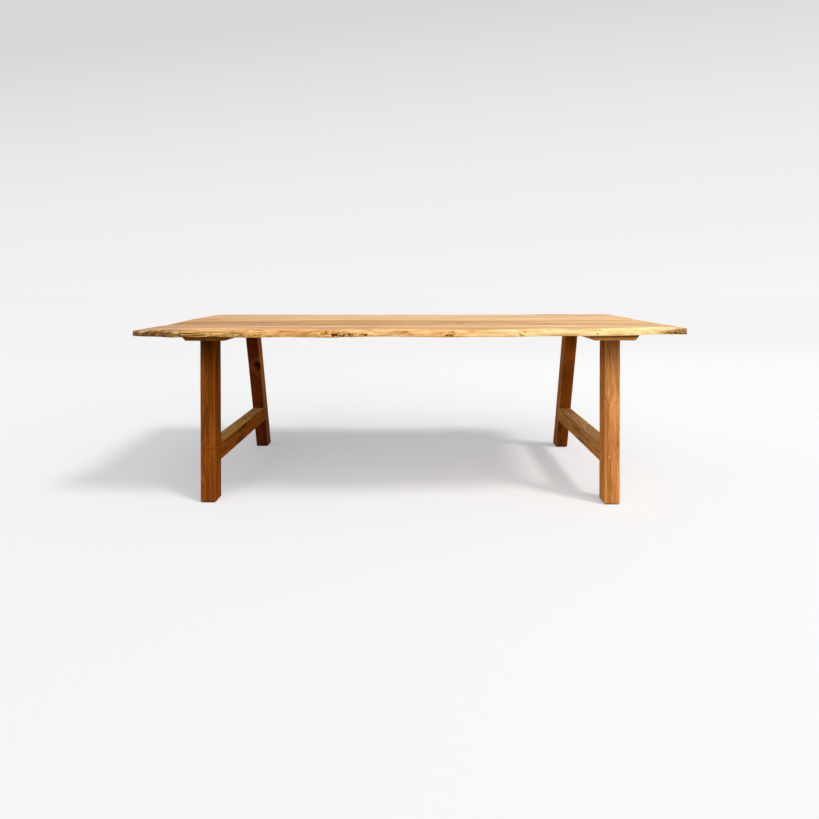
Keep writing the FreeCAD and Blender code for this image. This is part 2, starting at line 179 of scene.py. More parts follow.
class Nodes:
    """Node tree of a material or world, with a short call for each kind of node."""

    def __init__(self, tree):
        self.tree = tree
        self.tree.nodes.clear()

    def add(self, kind, **settings):
        node = self.tree.nodes.new("ShaderNode" + kind)
        for key, value in settings.items():
            setattr(node, key, value)
        return node

    def feed(self, socket, value):
        """Link a socket, or set a plain value on it."""
        if isinstance(value, bpy.types.NodeSocket):
            self.tree.links.new(value, socket)
        else:
            socket.default_value = value

    def fill(self, node, values):
        """Feed a node's sockets in their order."""
        for socket, value in zip(node.inputs, values):
            self.feed(socket, value)

    def fill_named(self, node, values):
        """Feed a node's sockets by their names."""
        for name, value in values.items():
            self.feed(node.inputs[name], value)

    def math(self, operation, *values):
        node = self.add("Math", operation=operation)
        self.fill(node, values)
        return node.outputs[0]

    def vector(self, operation, *values):
        node = self.add("VectorMath", operation=operation)
        self.fill(node, values)
        return node.outputs["Value" if operation in ("LENGTH", "DOT_PRODUCT") else "Vector"]

    def times(self, first, second):
        return self.math("MULTIPLY", first, second)

    def fit(self, value, factor, offset):
        """Value times a factor, plus an offset."""
        return self.math("MULTIPLY_ADD", value, factor, offset)

    def dot(self, place, direction):
        return self.vector("DOT_PRODUCT", place, direction)

    def facing(self, direction):
        """How far a face is turned towards a direction, from -1 to 1."""
        return self.dot(self.add("TexCoord").outputs["Normal"], direction)

    def attribute(self, name):
        return self.add("Attribute", attribute_name=name).outputs["Fac"]

    def noise(self, place, scale, detail=2.0, roughness=0.5):
        """Noise from about 0 to 1, with its own scale along each axis."""
        node = self.add("TexNoise")
        stretched = self.vector("MULTIPLY", place, scale)
        self.fill_named(node, {"Vector": stretched, "Scale": 1.0, "Detail": detail, "Roughness": roughness})
        return node.outputs["Fac"]

    def swing(self, share, reach):
        """Noise from 0 to 1 as a swing either side of zero."""
        return self.fit(share, 2 * reach, -reach)

    def step(self, low, high, value, start=0.0, end=1.0):
        """Smooth step of a value between two limits."""
        node = self.add("MapRange", interpolation_type="SMOOTHSTEP")
        limits = {"From Min": low, "From Max": high, "To Min": start, "To Max": end}
        self.fill_named(node, {"Value": value, **limits})
        return node.outputs["Result"]

    def mix(self, share, first, second, blend="MIX"):
        node = self.add("Mix", data_type="RGBA", blend_type=blend)
        self.feed(node.inputs["Factor"], share)
        first_socket, second_socket = [s for s in node.inputs if s.type == "RGBA"]
        self.feed(first_socket, first)
        self.feed(second_socket, second)
        return next(s for s in node.outputs if s.type == "RGBA")

    def ramp(self, share, stops):
        node = self.add("ValToRGB")
        elements = node.color_ramp.elements
        while len(elements) < len(stops):
            elements.new(1.0)
        for element, (position, colour) in zip(elements, stops):
            element.position = position
            element.color = colour
        self.feed(node.inputs["Fac"], share)
        return node.outputs["Color"]

    def blend(self, share, first, second):
        """Shader between two others."""
        node = self.add("MixShader")
        self.fill(node, (share, first.outputs[0], second.outputs[0]))
        return node

    def finish(self, kind, shader):
        self.feed(self.add(kind).inputs["Surface"], shader.outputs[0])


class Surface(Nodes):
    """Material with one principled shader."""

    def __init__(self, name):
        self.material = bpy.data.materials.new(name)
        self.material.use_nodes = True
        super().__init__(self.material.node_tree)
        self.shader = self.add("BsdfPrincipled")
        self.finish("OutputMaterial", self.shader)

    def set(self, name, value):
        self.feed(self.shader.inputs[name], value)

    def bump(self, height, strength, distance):
        node = self.add("Bump")
        self.fill_named(node, {"Strength": strength, "Distance": distance, "Height": height})
        self.set("Normal", node.outputs["Normal"])


# Materials

# Turns that bring the grain of a piece onto local X. The legs' grain runs a little askew.
ALONG_X = (0.0, 0.0, 0.0)
ALONG_Y = (0.0, 0.0, math.radians(-90))
ALONG_FRONT_LEG = (LEG_SPLAY, math.radians(90) + math.radians(1.2), math.radians(0.8))
ALONG_BACK_LEG = (-LEG_SPLAY, math.radians(90) + math.radians(1.2), math.radians(0.8))

# Waves in the growth rings: changes per metre along and across the grain, and share of the warp
RING_WAVES = (((1.6, 6, 6), 1), ((5, 18, 18), 0.3), ((12, 60, 60), 0.12))

# Natural edges: tones of the sapwood from light to dark, of marks in it, and casts low down and at hollows
LEFT_SAPWOOD = (linear(253, 211, 146), linear(240, 178, 106), linear(182, 116, 51))
RIGHT_SAPWOOD = (linear(255, 236, 180), linear(253, 216, 145), linear(241, 186, 108))
BACK_SAPWOOD = (linear(210, 168, 116), linear(192, 142, 86), linear(150, 98, 48))
WORN_SAPWOOD = (linear(244, 204, 132), linear(200, 152, 82), linear(132, 92, 40), linear(72, 46, 14))
HOLLOW_TONE = linear(64, 32, 6)
LIP_TONE = linear(252, 206, 132)
FLECK_TONE = linear(252, 230, 182)
LOW_CAST = (1.0, 0.945, 0.82, 1.0)
RUST_CAST = (1.0, 0.86, 0.66, 1.0)

# Cast of long pinkish streaks in all the wood
PINK_CAST = (1.0, 0.95, 0.98, 1.0)


def wood(name, light, dark, seed, turn=ALONG_X, heart=None, spacing=5 * MM, warp=10 * MM, contrast=0.6,
         knots=(), halo_look=None, cracks=(), shine=0.05, end_shade=0.6, paler=0.0, streaky=1.1, coarse=0.3,
         changes=(1.6, 1.7), bleached=0.0, bands=(), sapwood=(LEFT_SAPWOOD, RIGHT_SAPWOOD), scuffed=None,
         flank=None, painted_shade_and_darkening=()):
    """Sawn and oiled wood with growth rings, fibre, pores and knots. The turn brings its grain onto local X.
    Heart, knots and cracks are places in the table's frame. Without a heart, the mesh gives the distance to
    the bark, and sapwood holds the tones under the bark at the left and the right. Halo_look is the tone and
    strength of the wood round a knot. Paler is how much shade the wood loses per metre of grain, bleached
    how far it goes past the light tone. Streaky and coarse are how strongly broad and fine streaks show,
    changes how often the broad ones and the tone change per metre of grain. Bands are streaks with a place.
    Scuffed holds the colour of a bare upper face and the share of painted shade at its far end. The
    darkening bands list (start, end, share) for wood that darkens between two heights, as painted shade or
    as darker wood. Flank holds the light and dark tones of the sides and their darkening bands, painted
    lighter or darker than the front by the light that falls on them."""
    s = Surface(name)
    turned = Euler(turn).to_matrix()
    place = s.add("TexCoord").outputs["Object"]
    mapping = s.add("Mapping")
    s.fill_named(mapping, {"Rotation": turn, "Vector": place})
    grain = mapping.outputs["Vector"]
    shifted = s.vector("ADD", grain, (3.1 * seed, 1.7 * seed, 2.3 * seed))

    distance = ring_distance(s, grain, shifted, turned @ Vector(heart) if heart else None, warp)
    placed_knots = [(turned @ Vector(knot_place), radius) for *knot_place, radius in knots]
    distance, knot, halo = knotted(s, grain, shifted, distance, placed_knots)

    rings, line = growth_rings(s, distance, spacing, contrast)
    fibre = s.noise(shifted, (5, 420, 420), 3, 0.6)
    strand = s.noise(shifted, (5, 150, 150), 4, 0.7)
    streak = s.noise(shifted, (changes[0], 26, 26), 4, 0.65)
    tone = s.noise(shifted, (changes[1], 13, 13), 2)
    pores = s.step(0.62, 0.74, s.noise(shifted, (75, 1500, 1500), 1))
    pores = s.times(pores, s.fit(line, 0.65, 0.35))
    broad = s.math("ADD", s.swing(streak, streaky), s.swing(tone, 1.1))
    lengthwise = s.dot(grain, (paler, 0, 0))
    broad = s.math("MINIMUM", s.math("SUBTRACT", broad, lengthwise), 1.0)
    broad = s.math("MAXIMUM", broad, -bleached)
    for band in bands:
        broad = s.math("ADD", broad, placed_band(s, grain, shifted, *band))
    fine = s.math("ADD", s.swing(strand, coarse), s.swing(fibre, 0.2))
    shade = s.math("ADD", broad, s.math("ADD", rings, fine))
    height = s.dot(place, (0, 0, 1))
    colour = dimmed(s, shaded(s, shade, light, dark, bleached), height, painted_shade_and_darkening, dark)
    # The flanks take their own tones, painted lighter or darker than the front by the light that falls on
    # them
    if flank:
        flank_light, flank_dark, flank_darkened = flank
        side = dimmed(s, shaded(s, shade, flank_light, flank_dark), height, flank_darkened, flank_dark)
        colour = s.mix(s.step(0.5, 0.9, s.math("ABSOLUTE", s.facing((1, 0, 0)))), colour, side)
    cast = s.step(0.42, 0.62, s.noise(shifted, (0.9, 11, 11), 3))
    colour = s.mix(cast, colour, PINK_CAST, "MULTIPLY")
    relief = s.times(fibre, 0.5)
    if not heart:
        shade = s.math("MAXIMUM", shade, 0.0)
        colour, relief = natural_face(s, grain, shifted, distance, shade, colour, relief, sapwood)
    if scuffed:
        colour, relief = bare_upper_face(s, grain, shifted, colour, relief, scuffed, scaled(dark, 0.5))
    furrow = s.step(0.55, 0.66, s.noise(shifted, (7, 85, 85), 3, 0.6), 0, 0.7 * coarse)
    colour = s.mix(furrow, colour, scaled(dark, 0.4))
    # Lighter rubbed wood with a painted highlight in patches along the bars' corners
    if heart:
        rubbed_and_highlight = s.step(0.75, 1.0, s.attribute("worn"), 0.0, 0.5)
        colour = s.mix(s.times(rubbed_and_highlight, s.step(0.35, 0.6, strand)), colour, light)

    sawn = sawn_end(s, turned)
    colour = s.mix(s.times(sawn, end_shade), colour, scaled(dark, 0.45))
    halo_tone, halo_share = halo_look or (light, 0.45)
    colour = s.mix(s.times(halo, halo_share), colour, halo_tone)
    colour = s.mix(s.times(knot, 0.85), colour, scaled(dark, 0.35))
    for start, end, half_width in cracks:
        crack = cracked(s, grain, shifted, turned @ Vector(start), turned @ Vector(end), half_width)
        colour = s.mix(s.times(crack, 0.75), colour, scaled(dark, 0.35))
        relief = s.math("SUBTRACT", relief, s.times(crack, 2.0))
    colour = s.mix(s.times(pores, 0.30), colour, scaled(dark, 0.45))
    s.set("Base Color", colour)
    gloss = s.fit(streak, 0.18, 0.42)
    s.set("Roughness", s.fit(sawn, 0.2, gloss))
    s.set("Specular IOR Level", shine)
    relief = s.math("SUBTRACT", relief, s.times(pores, 0.7))
    s.bump(s.math("SUBTRACT", relief, s.times(rings, 0.3)), 0.35, 0.4 * MM)
    return s.material


def shaded(s, shade, light, dark, bleached=0.0):
    """Colour between a light and a dark tone, by way of their geometric mean. Shade below zero goes on past
    the light tone, as far as the wood is bleached."""
    stops = []
    for level in ([-bleached] if bleached else []) + [0.0, 0.5, 1.0]:
        tone = [a * (b / a) ** level for a, b in zip(light, dark)]
        stops.append(((level + bleached) / (1 + bleached), tone))
    return s.ramp(s.fit(shade, 1 / (1 + bleached), bleached / (1 + bleached)), stops)


def dimmed(s, colour, height, painted_shade_and_darkening, dark):
    """Colour that darkens from one height to another, by each (start, end, share), for painted shade and for
    darker wood.
    """
    for start, end, share in painted_shade_and_darkening:
        colour = s.mix(s.step(start, end, height, 0.0, share), colour, scaled(dark, 0.1))
    return colour


def placed_band(s, grain, shifted, y, half_width, start, end, amount):
    """Shade of a long band at a place across a board, which grows from one point along it to another."""
    bend = s.swing(s.noise(shifted, (1.5, 4, 4), 3), 0.8 * half_width)
    across = s.math("ADD", s.dot(grain, (0, 1, 0)), bend)
    away = s.math("ABSOLUTE", s.math("SUBTRACT", across, y))
    grown = s.step(start, end, s.dot(grain, (1, 0, 0)), 0.0, amount)
    return s.times(s.step(half_width, 0.2 * half_width, away), grown)


def ring_distance(s, grain, shifted, heart, warp):
    """Distance from the heart, or from the bark without one, wandering as the growth rings do."""
    if heart is None:
        distance = s.attribute("ring")
    else:
        across = s.vector("MULTIPLY", s.vector("SUBTRACT", grain, heart), (0, 1, 1))
        distance = s.vector("LENGTH", across)
    for scale, share in RING_WAVES:
        distance = s.math("ADD", distance, s.swing(s.noise(shifted, scale), share * warp))
    return distance


def growth_rings(s, distance, spacing, contrast):
    """Darkness of the rings from 0 to 1, and the porous line that starts each year."""
    years = s.math("DIVIDE", distance, spacing)
    year = s.math("FRACT", years)
    line = s.times(s.step(0.3, 0.0, year), s.step(0.0, 0.06, year))
    late = s.times(s.math("POWER", year, 2.2), 0.5)
    bands = s.add("TexNoise", noise_dimensions="1D")
    s.fill_named(bands, {"W": years, "Scale": 0.45})
    strength = s.step(0.3, 0.7, bands.outputs["Fac"], 0.3 * contrast, contrast)
    return s.times(s.math("MAXIMUM", late, line), strength), line


def knotted(s, grain, shifted, distance, knots):
    """Bend the rings round each knot, and mark the knots' dark cores and the pale wood round them."""
    cores = 0.0
    halos = 0.0
    for place, radius in knots:
        offset = s.vector("MULTIPLY", s.vector("SUBTRACT", grain, place), (0.6, 1.0, 0.6))
        uneven = s.swing(s.noise(shifted, (60, 90, 90), 2), 0.5 * radius)
        away = s.math("ADD", s.vector("LENGTH", offset), uneven)
        swell = s.step(0.4 * radius, 5 * radius, away, 2.2 * radius, 0.0)
        distance = s.math("ADD", distance, swell)
        cores = s.math("MAXIMUM", cores, s.step(1.1 * radius, 0.3 * radius, away))
        inner = s.step(1.0 * radius, 1.4 * radius, away)
        outer = s.step(2.6 * radius, 1.5 * radius, away)
        halos = s.math("MAXIMUM", halos, s.times(inner, outer))
    return distance, cores, halos


def cracked(s, grain, shifted, start, end, half_width):
    """Depth of a crack from 0 to 1, which thins out from its start to its end."""
    run = end - start
    offset = s.vector("SUBTRACT", grain, start)
    along = s.dot(offset, run / run.length_squared)
    along = s.math("MINIMUM", s.math("MAXIMUM", along, 0.0), 1.0)
    away = s.vector("LENGTH", s.vector("SUBTRACT", offset, s.vector("MULTIPLY", along, run)))
    uneven = s.swing(s.noise(shifted, (60, 90, 90), 2), 0.8 * half_width)
    away = s.math("ADD", away, s.fit(along, 0.6 * half_width, uneven))
    return s.step(half_width, 0.3 * half_width, away)


def sawn_end(s, turned):
    """How far a face is cut across the grain, from 0 to 1."""
    facing = s.facing(turned.transposed() @ Vector((1, 0, 0)))
    return s.step(0.72, 0.9, s.math("ABSOLUTE", facing))


def natural_face(s, grain, shifted, distance, shade, colour, relief, sapwood):
    """Sapwood under the bark: streaked along the grain, paler to the right, mottled brown where it is worn,
    and dark with a pale lip at each hollow."""
    rim = s.math("ADD", distance, s.swing(s.noise(shifted, (9, 9, 9)), 6 * MM))
    streaks = s.noise(shifted, (9, 90, 110), 4, 0.65)
    streaked = s.fit(shade, 0.3, s.fit(streaks, 3.0, -1.3))
    stops = (0.0, 0.35, 0.8)
    left, right = [s.ramp(streaked, tuple(zip(stops, tones))) for tones in sapwood]
    rightward = s.dot(grain, (1, 0, 0))
    under_bark = s.mix(s.step(-0.1, 1.15, rightward), left, right)
    colour = s.mix(s.step(12 * MM, 5 * MM, rim), colour, under_bark)

    worn = s.attribute("worn")
    hollow = s.attribute("hollow")
    soiled = s.math("MAXIMUM", worn, s.times(hollow, 1.3))
    mottle = s.fit(s.noise(shifted, (14, 180, 220), 5, 0.68), 1.7, -0.35)
    depth = s.fit(soiled, 0.3, mottle)
    brown = s.ramp(depth, tuple(zip((0.42, 0.62, 0.82, 1.0), WORN_SAPWOOD)))
    colour = s.mix(s.step(0.1, 0.6, soiled), colour, brown)
    # Pale flecks high on worn parts: bared wood, with a painted highlight along the upper rim
    flecks = s.step(0.52, 0.62, s.noise(shifted, (22, 110, 120), 3, 0.6))
    height = s.math("SUBTRACT", s.dot(grain, (0, 0, 1)), UNDERSIDE_Z)
    raised_flecks_and_highlight = s.times(s.step(0.5, 0.9, worn, 0.0, 0.6), s.step(12 * MM, 18 * MM, height))
    colour = s.mix(s.times(flecks, raised_flecks_and_highlight), colour, FLECK_TONE)

    low = s.times(s.step(14 * MM, 6 * MM, height), s.step(-0.5, 0.5, rightward))
    colour = s.mix(low, colour, LOW_CAST, "MULTIPLY")
    lip = s.times(s.step(0.05, 0.18, hollow), s.step(0.22, 0.4, hollow, 0.4, 0.0))
    colour = s.mix(lip, colour, LIP_TONE)
    colour = s.mix(s.step(0.05, 0.3, hollow), colour, RUST_CAST, "MULTIPLY")
    dark = s.step(0.65, 1.2, s.fit(mottle, 0.8, hollow))
    colour = s.mix(dark, colour, HOLLOW_TONE)
    rough = s.times(s.times(worn, mottle), 4.0)
    return colour, s.math("ADD", relief, rough)


def bare_upper_face(s, grain, shifted, colour, relief, scuffed, painted_shade_tone):
    """Upper face scuffed through to rough bare wood, with painted shade towards its far end."""
    bare_tone, painted_shade_share = scuffed
    patches = s.noise(shifted, (14, 50, 50), 4, 0.65)
    bare = s.times(s.step(0.3, 0.8, s.facing((0, 0, 1))), s.step(0.24, 0.46, patches))
    fuzz = s.noise(shifted, (20, 260, 260), 3)
    grey = s.ramp(fuzz, ((0.3, bare_tone), (0.7, scaled(bare_tone, 0.5))))
    along = s.dot(grain, (1, 0, 0))
    # Painted shade darkens the far end of the upper face
    grey = s.mix(s.step(0.02, 0.36, along, 0.0, painted_shade_share), grey, painted_shade_tone)
    rough = s.times(s.times(bare, patches), 4.0)
    return s.mix(bare, colour, grey), s.math("ADD", relief, rough)


def steel(name, colour):
    """Zinc plated steel with faint turning marks."""
    s = Surface(name)
    place = s.add("TexCoord").outputs["Object"]
    marks = s.noise(place, (900, 900, 900))
    cloud = s.noise(place, (120, 120, 120))
    s.set("Base Color", s.ramp(cloud, ((0.3, colour), (0.7, scaled(colour, 0.72)))))
    s.set("Metallic", 1.0)
    s.set("Roughness", s.fit(marks, 0.25, 0.25))
    s.bump(marks, 0.2, 0.1 * MM)
    return s.material


# Meshes

def through(points, count):
    """Evenly spaced points on a smooth curve through the given ones."""
    points = np.array(points, float)
    knots = np.concatenate(([0.0], np.cumsum(np.linalg.norm(np.diff(points, axis=0), axis=1))))
    slopes = np.gradient(points, knots, axis=0)
    fine = np.linspace(0, knots[-1], 60 * len(points))
    span = np.clip(np.searchsorted(knots, fine, side="right") - 1, 0, len(points) - 2)
    width = (knots[span + 1] - knots[span])[:, None]
    u = (fine - knots[span])[:, None] / width
    curve = (2 * u**3 - 3 * u**2 + 1) * points[span] + (3 * u**2 - 2 * u**3) * points[span + 1]
    curve += (u**3 - 2 * u**2 + u) * width * slopes[span] + (u**3 - u**2) * width * slopes[span + 1]
    travelled = np.concatenate(([0.0], np.cumsum(np.linalg.norm(np.diff(curve, axis=0), axis=1))))
    even = np.linspace(0, travelled[-1], count)
    return np.stack([np.interp(even, travelled, curve[:, axis]) for axis in (0, 1)], axis=1)


def skin(rings, marks=None):
    """Quads between closed rings of points. Marks hold (ring, worn, hollow) for each point."""
    builder = bmesh.new()
    names = ("ring", "worn", "hollow") if marks else ()
    layers = [builder.verts.layers.float.new(name) for name in names]
    rows = [[builder.verts.new(point) for point in ring] for ring in rings]
    for row, row_marks in zip(rows, marks or ()):
        for vertex, values in zip(row, row_marks):
            for layer, value in zip(layers, values):
                vertex[layer] = value
    for one, other in zip(rows, rows[1:]):
        for i in range(len(one)):
            builder.faces.new((one[i - 1], one[i], other[i], other[i - 1]))
    return builder, rows


def show(name, data):
    """New object of the scene with the given data."""
    shown = bpy.data.objects.new(name, data)
    bpy.context.scene.collection.objects.link(shown)
    return shown


def show_mesh(name, builder, material):
    """New object of the scene with a finished mesh."""
    mesh = bpy.data.meshes.new(name)
    builder.to_mesh(mesh)
    builder.free()
    mesh.materials.append(material)
    return show(name, mesh)


def piece(node, builder, material, sharp_angle):
    """Finish a mesh as a piece that rides on the table in place of a CAD node."""
    bmesh.ops.recalc_face_normals(builder, faces=builder.faces)
    for face in builder.faces:
        face.smooth = True
    for edge in builder.edges:
        edge.smooth = edge.calc_face_angle(0.0) < math.radians(sharp_angle)
    shown = show_mesh(node + "_wood", builder, material)
    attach(shown, "root")
    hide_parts(node)


def tip_drop(x, y):
    """How far the face is worn down at a point near either front tip."""
    side = 1 if x > 0 else -1
    seam_end = Vector((FRONT_BOARD_SEAM_END_SHARES[(side + 1) // 2] * HALF_LENGTH, FRONT_SEAM_Y))
    edge_start = Vector((side * (HALF_LENGTH - TIP_WEAR_LENGTH), -HALF_WIDTH))
    tip = Vector((side * HALF_LENGTH, TIP_PLACE_SHARE * HALF_WIDTH))
    along = edge_start - seam_end
    across = Vector((along.y, -along.x))
    share = (Vector((x, y)) - seam_end).dot(across) / (tip - seam_end).dot(across)
    return TIP_WEAR[side] * max(share, 0.0) * ease(0.0, 0.5, share)


def edge_relief(x, height, worn, knots, seed):
    """Relief of a natural edge, always inward, and how deep the point lies in a hollow."""
    body = ease(0.0, 3 * MM, height) * ease(0.0, 5 * MM, THICKNESS - height)
    swell = 1.7 * wander(5 * x, 0.0, 30 * height, seed) + 0.9 * wander(19 * x, 2.0, 70 * height, seed)
    swell += (0.4 + 1.1 * worn) * wander(60 * x, 4.0, 190 * height, seed)
    hollow = 0.45 * worn * ease(0.12, 0.5, wander(30 * x, 6.0, 90 * height, seed))
    for knot_x, knot_height, radius, strength in knots:
        gap = math.hypot((x - knot_x) / 1.5, height - knot_height * MM) / (radius * MM)
        gap += 0.7 * wander(130 * x, 8.0, 260 * height, seed)
        swell += 2.5 * strength * math.exp(-((gap - 1.3) ** 2) * 4)
        hollow = max(hollow, 0.9 * strength * math.exp(-gap * abs(gap)))
    relief = (min(swell, 1.8) - 1.8 - 4.0 * hollow) * MM
    return relief * body, hollow * body


def outer_board(node, shares, seam_y, seam_end_shares, wear, worn_places, knots, seed, material):
    """Board with one natural edge: stations along the edge, each a closed ring across the board."""
    base = through([(x * HALF_LENGTH, y * HALF_WIDTH) for x, y in shares], EDGE_STATIONS)
    section = through(EDGE_SECTION, EDGE_POINTS)
    top_inset = section[-1][0]
    out = math.copysign(1.0, shares[0][1])
    tangent = np.gradient(base, axis=0)
    outward = out * np.stack((-tangent[:, 1], tangent[:, 0]), axis=1)
    normals = outward / np.linalg.norm(tangent, axis=1)[:, None]
    heart_radius = math.hypot(HEART_INWARD, HEART_BELOW)
    spread = [0.0] + list(np.linspace(OUTER_SEAM_EASE_SHARE, 1.0, BOARD_COLUMNS)[:-1])

    def bark_distance(inward, z):
        return heart_radius - math.hypot(inward - HEART_INWARD, z - TOP_Z + HEART_BELOW)

    rings = []
    marks = []
    for i, ((x, y), normal) in enumerate(zip(base, normals)):
        share = i / (EDGE_STATIONS - 1)
        fade = ease(0.0, EDGE_FADE_SHARE, share) * ease(0.0, EDGE_FADE_SHARE, 1 - share)
        worn = np.interp(x, *zip(*worn_places))
        wane = (0.5 + 0.5 * fade) * (1 + 0.4 * wander(2.3 * x, 0.0, 1.0, seed))
        seam_x = HALF_LENGTH * (seam_end_shares[0] + (seam_end_shares[1] - seam_end_shares[0]) * share)
        face = []
        face_marks = []
        for inset, height in section:
            relief, hollow = edge_relief(x, height, worn, knots, seed)
            depth = inset * (1 + (wane - 1) * ease(0.3, 1.0, height / THICKNESS))
            edge_x = x + fade * relief * normal[0]
            edge_y = y - out * depth + fade * relief * normal[1]
            face.append((edge_x, edge_y, UNDERSIDE_Z + height))
            distance = bark_distance(inset - top_inset, UNDERSIDE_Z + height)
            mark = max(0.0, 1.4 * worn - 0.5 * ease(0.5, 0.95, height / THICKNESS))
            face_marks.append((distance, mark, hollow))
        rows = []
        for edge, z, drop in ((face[0], UNDERSIDE_Z, SEAM_EASE), (face[-1], TOP_Z, -SEAM_EASE)):
            row = []
            row_marks = []
            for across in spread:
                row_x = seam_x + (edge[0] - seam_x) * across
                row_y = seam_y + (edge[1] - seam_y) * across
                row.append((row_x, row_y, z if across else z + drop))
                row_marks.append((bark_distance(abs(edge[1] - row_y), z), 0.0, 0.0))
            rows.append((row, row_marks))
        (low, low_marks), (high, high_marks) = rows
        rings.append(low + face + high[::-1])
        marks.append(low_marks + face_marks + high_marks[::-1])
    if wear:
        rings = [[worn_point(*point) for point in ring] for ring in rings]
    finish_board(node, rings, marks, len(spread), seed, material)


def worn_point(x, y, z):
    """Point of the front board, lowered in step with its height where the tips are worn."""
    return (x, y, z - tip_drop(x, y) * (z - UNDERSIDE_Z) / THICKNESS)


def inner_board(node, front_y, back_y, end_shares, seed, material):
    """Board between two straight seams."""
    (front_left, front_right), (back_left, back_right) = end_shares
    columns = [k / BOARD_COLUMNS for k in range(1, BOARD_COLUMNS)]
    spread = [0.0, INNER_SEAM_EASE_SHARE] + columns + [1 - INNER_SEAM_EASE_SHARE, 1.0]
    rings = []
    for i in range(INNER_STATIONS):
        share = i / (INNER_STATIONS - 1)
        low = []
        high = []
        for across in spread:
            left = front_left + (back_left - front_left) * across
            right = front_right + (back_right - front_right) * across
            x = HALF_LENGTH * (left + (right - left) * share)
            y = front_y + (back_y - front_y) * across
            drop = SEAM_EASE if across in (0.0, 1.0) else 0.0
            low.append((x, y, UNDERSIDE_Z + drop))
            high.append((x, y, TOP_Z - drop))
        rings.append(low + high[::-1])
    finish_board(node, rings, None, len(spread), seed, material)


def finish_board(node, rings, marks, columns, seed, material):
    """Ease the sawn ends, plane the face a little unevenly, and close the board."""
    middle = UNDERSIDE_Z + THICKNESS / 2
    flat = 1 - 2 * END_EASE / THICKNESS
    ends = []
    for end, inward in ((rings[0], END_EASE), (rings[-1], -END_EASE)):
        ends.append([(x, y, middle + (z - middle) * flat) for x, y, z in end])
        end[:] = [(x + inward, y, z) for x, y, z in end]
    rings = [ends[0]] + rings + [ends[1]]
    rings = [[planed(*point, seed) for point in ring] for ring in rings]
    builder, rows = skin(rings, [marks[0]] + marks + [marks[-1]] if marks else None)
    for row in (rows[0], rows[-1]):
        last = len(row) - 1
        for i in range(columns - 1):
            builder.faces.new((row[i], row[i + 1], row[last - 1 - i], row[last - i]))
        if marks:
            builder.faces.new(row[columns - 1:last - columns + 2])
    piece(node, builder, material, sharp_angle=50)


def planed(x, y, z, seed):
    """Lower a point of the face by a fraction of a millimetre."""
    if z < TOP_Z - SEAM_EASE:
        return (x, y, z)
    return (x, y, z - 0.3 * MM * abs(wander(3 * x, 9 * y, 5.0, seed)))


def eased_square(half_width, half_depth, radius):
    """Points round a rectangle with rounded corners."""
    points = []
    for quarter, (side_x, side_y) in enumerate(((1, 1), (-1, 1), (-1, -1), (1, -1))):
        for k in range(CORNER_POINTS):
            angle = math.radians(90 * (quarter + k / (CORNER_POINTS - 1)))
            x = side_x * (half_width - radius) + radius * math.cos(angle)
            y = side_y * (half_depth - radius) + radius * math.sin(angle)
            points.append(Vector((x, y)))
    sided = []
    for i, point in enumerate(points):
        sided.append(point)
        if i % CORNER_POINTS == CORNER_POINTS - 1:
            after = points[(i + 1) % len(points)]
            sided += [point.lerp(after, k / (SIDE_POINTS + 1)) for k in range(1, SIDE_POINTS + 1)]
    return sided


def bar(node, place, level_count, half_width, half_depth, seed, material, sole=()):
    """Eased square bar whose corners are marked as worn, for rubbed wood with a painted highlight. Place
    puts a share of its length and a point of its section into the frame. Sole lists (share, inset) for extra
    rings that round the lower end."""
    levels = list(sole) + [(k / (level_count - 1), 0.0) for k in range(level_count)]
    rings = []
    marks = []
    for share, inset in levels:
        radius = (3.2 + 1.2 * wander(9 * share, 0.0, 0.0, seed)) * MM
        ring = []
        for point in eased_square(half_width - inset, half_depth - inset, radius):
            hollow = (0.25 + 0.25 * wander(9 * share, 40 * point.x, 40 * point.y, seed)) * MM
            across = 1 - hollow / half_width
            ring.append(place(share, point.x * across, point.y * across))
        rings.append(ring)
        # Corners are marked as worn, for rubbed wood with a painted highlight
        in_corner = [i % (CORNER_POINTS + SIDE_POINTS) < CORNER_POINTS for i in range(len(ring))]
        marks.append([(0.0, float(worn), 0.0) for worn in in_corner])
    builder, rows = skin(rings, marks)
    builder.faces.new(rows[0])
    builder.faces.new(rows[-1])
    piece(node, builder, material, sharp_angle=40)


def leg_centre(z):
    """Distance of a leg's middle from the table's middle, at a height."""
    return FOOT_Y - z * math.tan(LEG_SPLAY)


def leg(node, x, side, seed, material):
    """Splayed leg in level sections, from its worn sole to its shoulder under the batten."""
    round_off = 9 * MM

    def place(share, right, back):
        z = round_off + share * (SHOULDER_Z - round_off)
        return (x + right, side * leg_centre(z) + back, max(z, 0.0))

    down = -round_off / (SHOULDER_Z - round_off)
    sole = ((down, 7.0 * MM), (0.9 * down, 4.4 * MM), (0.7 * down, 2.2 * MM), (0.4 * down, 0.6 * MM))
    bar(node, place, LEG_LEVELS, LEG_SIZE / 2, LEG_HALF_DEPTH, seed, material, sole)


def stretcher(node, x, seed, material):
    """Low level bar between two legs, with ends cut to their slope."""
    middle = (STRETCHER_LOW.z + STRETCHER_HIGH.z) / 2
    half_height = (STRETCHER_HIGH.z - STRETCHER_LOW.z) / 2
    let_in = 1.5 * MM

    def place(share, right, up):
        reach = leg_centre(middle + up) - LEG_HALF_DEPTH + let_in
        return (x + right, (2 * share - 1) * reach, middle + up)

    bar(node, place, STRETCHER_LEVELS, LEG_SIZE / 2, half_height, seed, material)


# Top

def board_wood(name, light, dark, seed, **details):
    """Wood of a board of the top, with long broad streaks."""
    return wood(name, light, dark, seed, streaky=1.6, coarse=0.45, changes=(0.9, 0.8), bleached=0.35,
                **details)


